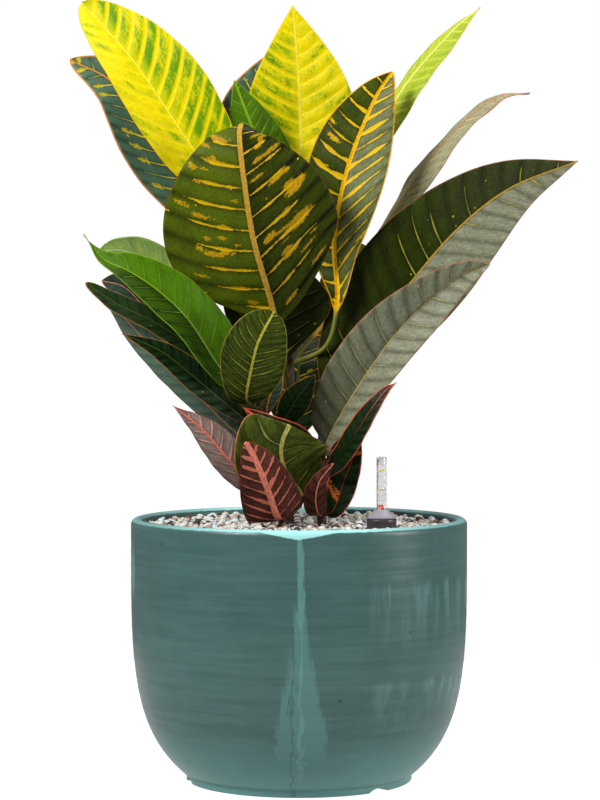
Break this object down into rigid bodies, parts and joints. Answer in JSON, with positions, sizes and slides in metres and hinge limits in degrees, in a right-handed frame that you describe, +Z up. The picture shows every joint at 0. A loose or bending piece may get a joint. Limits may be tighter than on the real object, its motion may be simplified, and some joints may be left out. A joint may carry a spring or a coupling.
{
  "type": "potted croton",
  "caption": "Variegated croton on short stems, rooted in mineral granules in a round glazed pot, with a water-level gauge whose float rises and falls.",
  "frame": {"origin": "on the pot's axis, on the surface that the pot stands on", "axes": "+Z up, -Y towards the pot's front as pictured, +X to the right seen from the front"},
  "size_m": [0.3777, 0.2655, 0.5789],
  "materials": {
    "pot_glaze": "gloss",
    "granules": "matte",
    "bark": "matte",
    "leaf_yellow": "satin",
    "leaf_blue": "satin",
    "leaf_green": "satin",
    "leaf_olive": "satin",
    "leaf_dark": "satin",
    "leaf_maroon": "satin",
    "gauge_dark": "matte",
    "gauge_clear": "clear",
    "gauge_red": "gloss"
  },
  "bodies": {
    "planter": {"pot": "pot_glaze", "substrate": "granules", "gauge_sleeve": "gauge_dark", "gauge_tube": "gauge_clear", "stem_main": "bark", "stem_left": "bark", "stem_right": "bark", "leaf_yellow_left": "leaf_yellow", "leaf_yellow_crown": "leaf_yellow", "leaf_lime_right": "leaf_yellow", "leaf_blue_left": "leaf_blue", "leaf_blue_crown": "leaf_blue", "leaf_grey_left": "leaf_blue", "leaf_low_left": "leaf_blue", "leaf_green_bud": "leaf_green", "leaf_green_left": "leaf_green", "leaf_pale_left": "leaf_green", "leaf_broad_front": "leaf_olive", "leaf_striped_right": "leaf_olive", "leaf_slim_right": "leaf_olive", "leaf_long_right": "leaf_olive", "leaf_grey_right": "leaf_olive", "leaf_oval_front": "leaf_olive", "leaf_dark_behind": "leaf_olive", "leaf_rear_left": "leaf_olive", "leaf_rear_right": "leaf_olive", "leaf_rear_top": "leaf_olive", "leaf_rear_upper_left": "leaf_olive", "leaf_rear_upper_right": "leaf_olive", "leaf_dark_left": "leaf_dark", "leaf_low_left_inner": "leaf_dark", "leaf_folded_front": "leaf_dark", "leaf_dark_tip": "leaf_dark", "leaf_small_centre": "leaf_dark", "leaf_small_grey": "leaf_dark", "leaf_torn_right": "leaf_dark", "leaf_rear_low": "leaf_dark", "leaf_rear_low_left": "leaf_dark", "leaf_rear_low_right": "leaf_dark", "leaf_maroon_front": "leaf_maroon", "leaf_maroon_left": "leaf_maroon", "leaf_maroon_right": "leaf_maroon", "leaf_coral_tip": "leaf_maroon", "leaf_coral_edge": "leaf_maroon", "leaf_rear_maroon_left": "leaf_maroon", "leaf_rear_maroon_right": "leaf_maroon"},
    "float": {"gauge_float": "gauge_red"}
  },
  "joints": [
    {"name": "float_rise", "type": "slide", "parent": "planter", "child": "float", "axis": [0, 0, 1], "range_m": [0, 0.03]}
  ]
}
